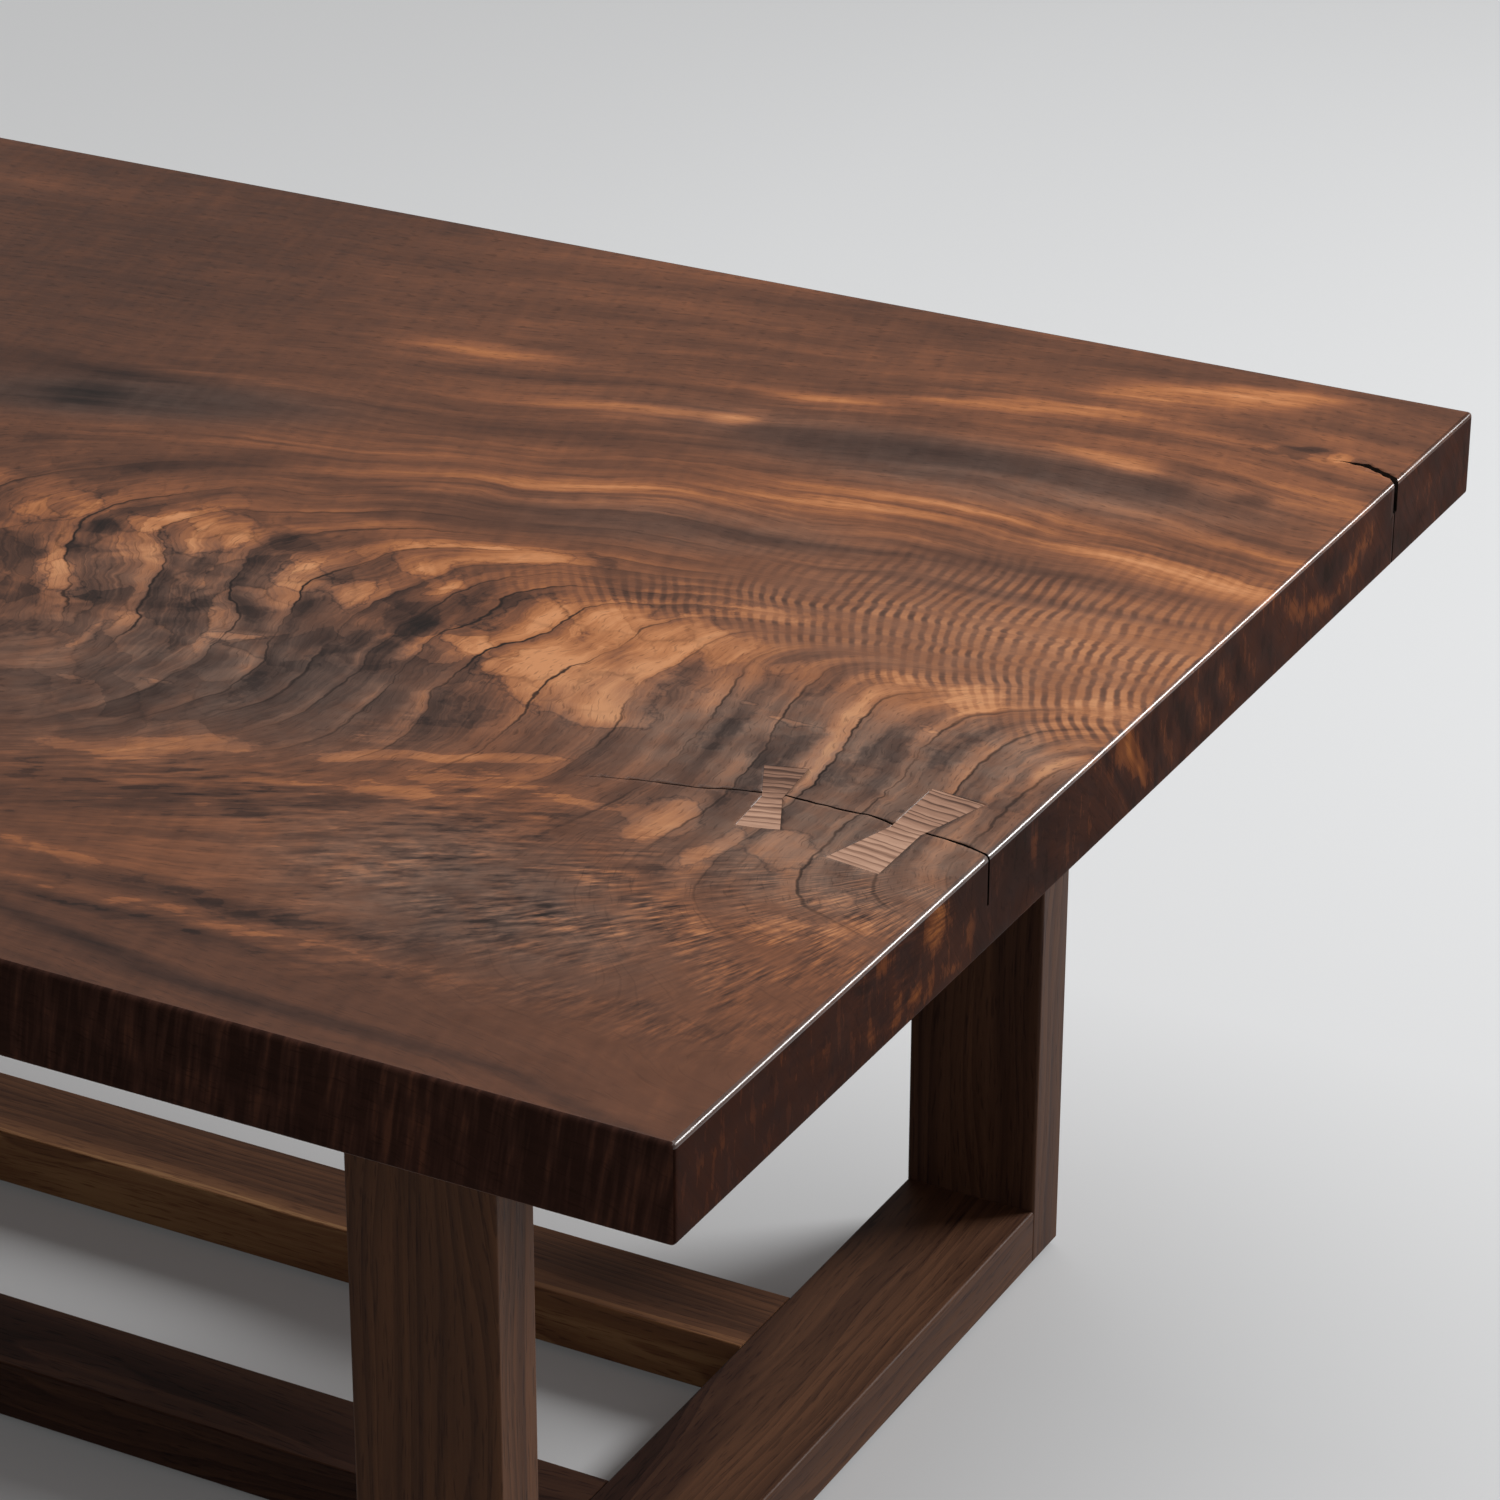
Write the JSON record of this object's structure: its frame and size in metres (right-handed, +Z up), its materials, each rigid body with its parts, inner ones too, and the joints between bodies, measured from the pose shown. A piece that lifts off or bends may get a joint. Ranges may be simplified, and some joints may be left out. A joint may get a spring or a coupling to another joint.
{
  "type": "coffee table",
  "caption": "Rectangular walnut slab coffee table with butterfly keys across an end crack, on rectangular end frames joined by low stretchers.",
  "frame": {"origin": "on the floor under the middle of the table", "axes": "+X along the slab towards the end with the butterfly keys, +Y across the slab towards the back, +Z up"},
  "size_m": [1.4, 0.76, 0.422],
  "materials": {
    "figured_walnut": "oiled figured walnut, satin",
    "straight_walnut": "oiled straight-grained walnut, satin",
    "key_walnut": "oiled light walnut, satin",
    "tenon_beech": "plain planed hardwood",
    "bolt_steel": "blackened steel",
    "insert_brass": "turned brass",
    "pad_felt": "pressed felt"
  },
  "bodies": {
    "root": {"slab": "figured_walnut", "small_butterfly_key": "key_walnut", "large_butterfly_key": "key_walnut", "front_stretcher": "straight_walnut", "back_stretcher": "straight_walnut", "stretcher_tenons": "tenon_beech", "left_floor_rail": "straight_walnut", "left_top_rail": "straight_walnut", "left_frame_tenons": "tenon_beech", "left_slab_bolts": "bolt_steel", "left_slot_washers": "bolt_steel", "left_threaded_inserts": "insert_brass", "left_front_post": "straight_walnut", "left_front_floor_pad": "pad_felt", "left_back_post": "straight_walnut", "left_back_floor_pad": "pad_felt", "right_floor_rail": "straight_walnut", "right_top_rail": "straight_walnut", "right_frame_tenons": "tenon_beech", "right_slab_bolts": "bolt_steel", "right_slot_washers": "bolt_steel", "right_threaded_inserts": "insert_brass", "right_front_post": "straight_walnut", "right_front_floor_pad": "pad_felt", "right_back_post": "straight_walnut", "right_back_floor_pad": "pad_felt"}
  },
  "joints": []
}
